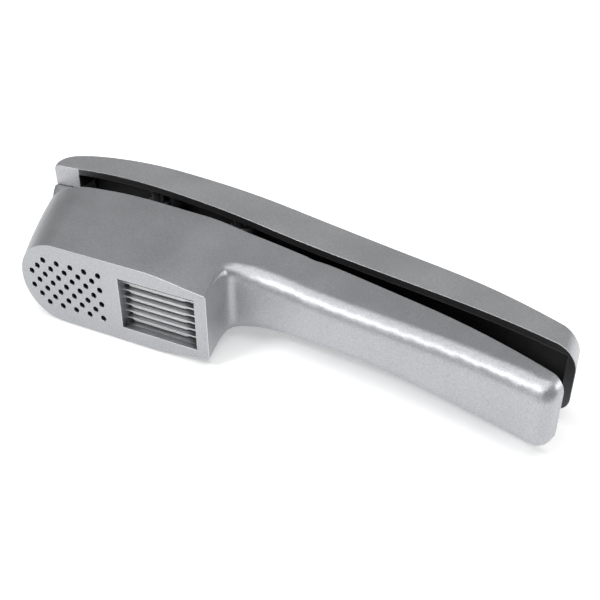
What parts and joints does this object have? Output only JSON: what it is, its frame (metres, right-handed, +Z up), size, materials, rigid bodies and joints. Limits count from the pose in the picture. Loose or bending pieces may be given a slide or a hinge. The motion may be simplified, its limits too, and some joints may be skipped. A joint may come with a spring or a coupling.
{
  "type": "garlic press",
  "caption": "Two-in-one cast garlic press: perforated crushing chamber and slicing window in the body, hinged lever with two swinging plungers.",
  "frame": {"origin": "centre of the footprint of the press lying on its side, on the surface it lies on", "axes": "+X from the hinge to the grip ends, +Y from the outlet face to the lever, +Z up across the width"},
  "size_m": [0.1846, 0.0602, 0.0267],
  "materials": {
    "cast_body": "satin silver lacquer over die-cast metal",
    "cast_lever": "satin silver lacquer over die-cast metal",
    "plunger_cast": "plain satin casting",
    "finger_steel": "bright ground steel",
    "blade_steel": "ground stainless strip",
    "pin_steel": "turned steel pin"
  },
  "bodies": {
    "body": {"body": "cast_body", "blade_frame": "blade_steel", "blade_1": "blade_steel", "blade_2": "blade_steel", "blade_3": "blade_steel", "blade_4": "blade_steel", "blade_5": "blade_steel", "blade_6": "blade_steel"},
    "lever": {"lever": "cast_lever", "hinge_pin": "pin_steel", "press_pin": "pin_steel", "slicer_pin": "pin_steel"},
    "press_plunger": {"press_plunger": "plunger_cast"},
    "slicer_plunger": {"slicer_carrier": "plunger_cast", "finger_rods": "pin_steel", "finger_1": "finger_steel", "finger_2": "finger_steel", "finger_3": "finger_steel", "finger_4": "finger_steel", "finger_5": "finger_steel", "finger_6": "finger_steel", "finger_7": "finger_steel"}
  },
  "joints": [
    {"name": "lever_hinge", "type": "hinge", "parent": "body", "child": "lever", "pos_m": [-0.0852, 0.01775, 0.01335], "axis": [0, 0, 1], "range_deg": [-2.2, 55]},
    {"name": "press_swing", "type": "hinge", "parent": "lever", "child": "press_plunger", "pos_m": [-0.0536, 0.02045, 0.01335], "axis": [0, 0, 1], "range_deg": [-50, 2]},
    {"name": "slicer_swing", "type": "hinge", "parent": "lever", "child": "slicer_plunger", "pos_m": [-0.0211, 0.01895, 0.01335], "axis": [0, 0, 1], "range_deg": [-43.5, 1.8]}
  ],
  "couplings": [
    {"joint": "press_swing", "follows": "lever_hinge", "ratio": -0.865},
    {"joint": "slicer_swing", "follows": "lever_hinge", "ratio": -0.73}
  ]
}
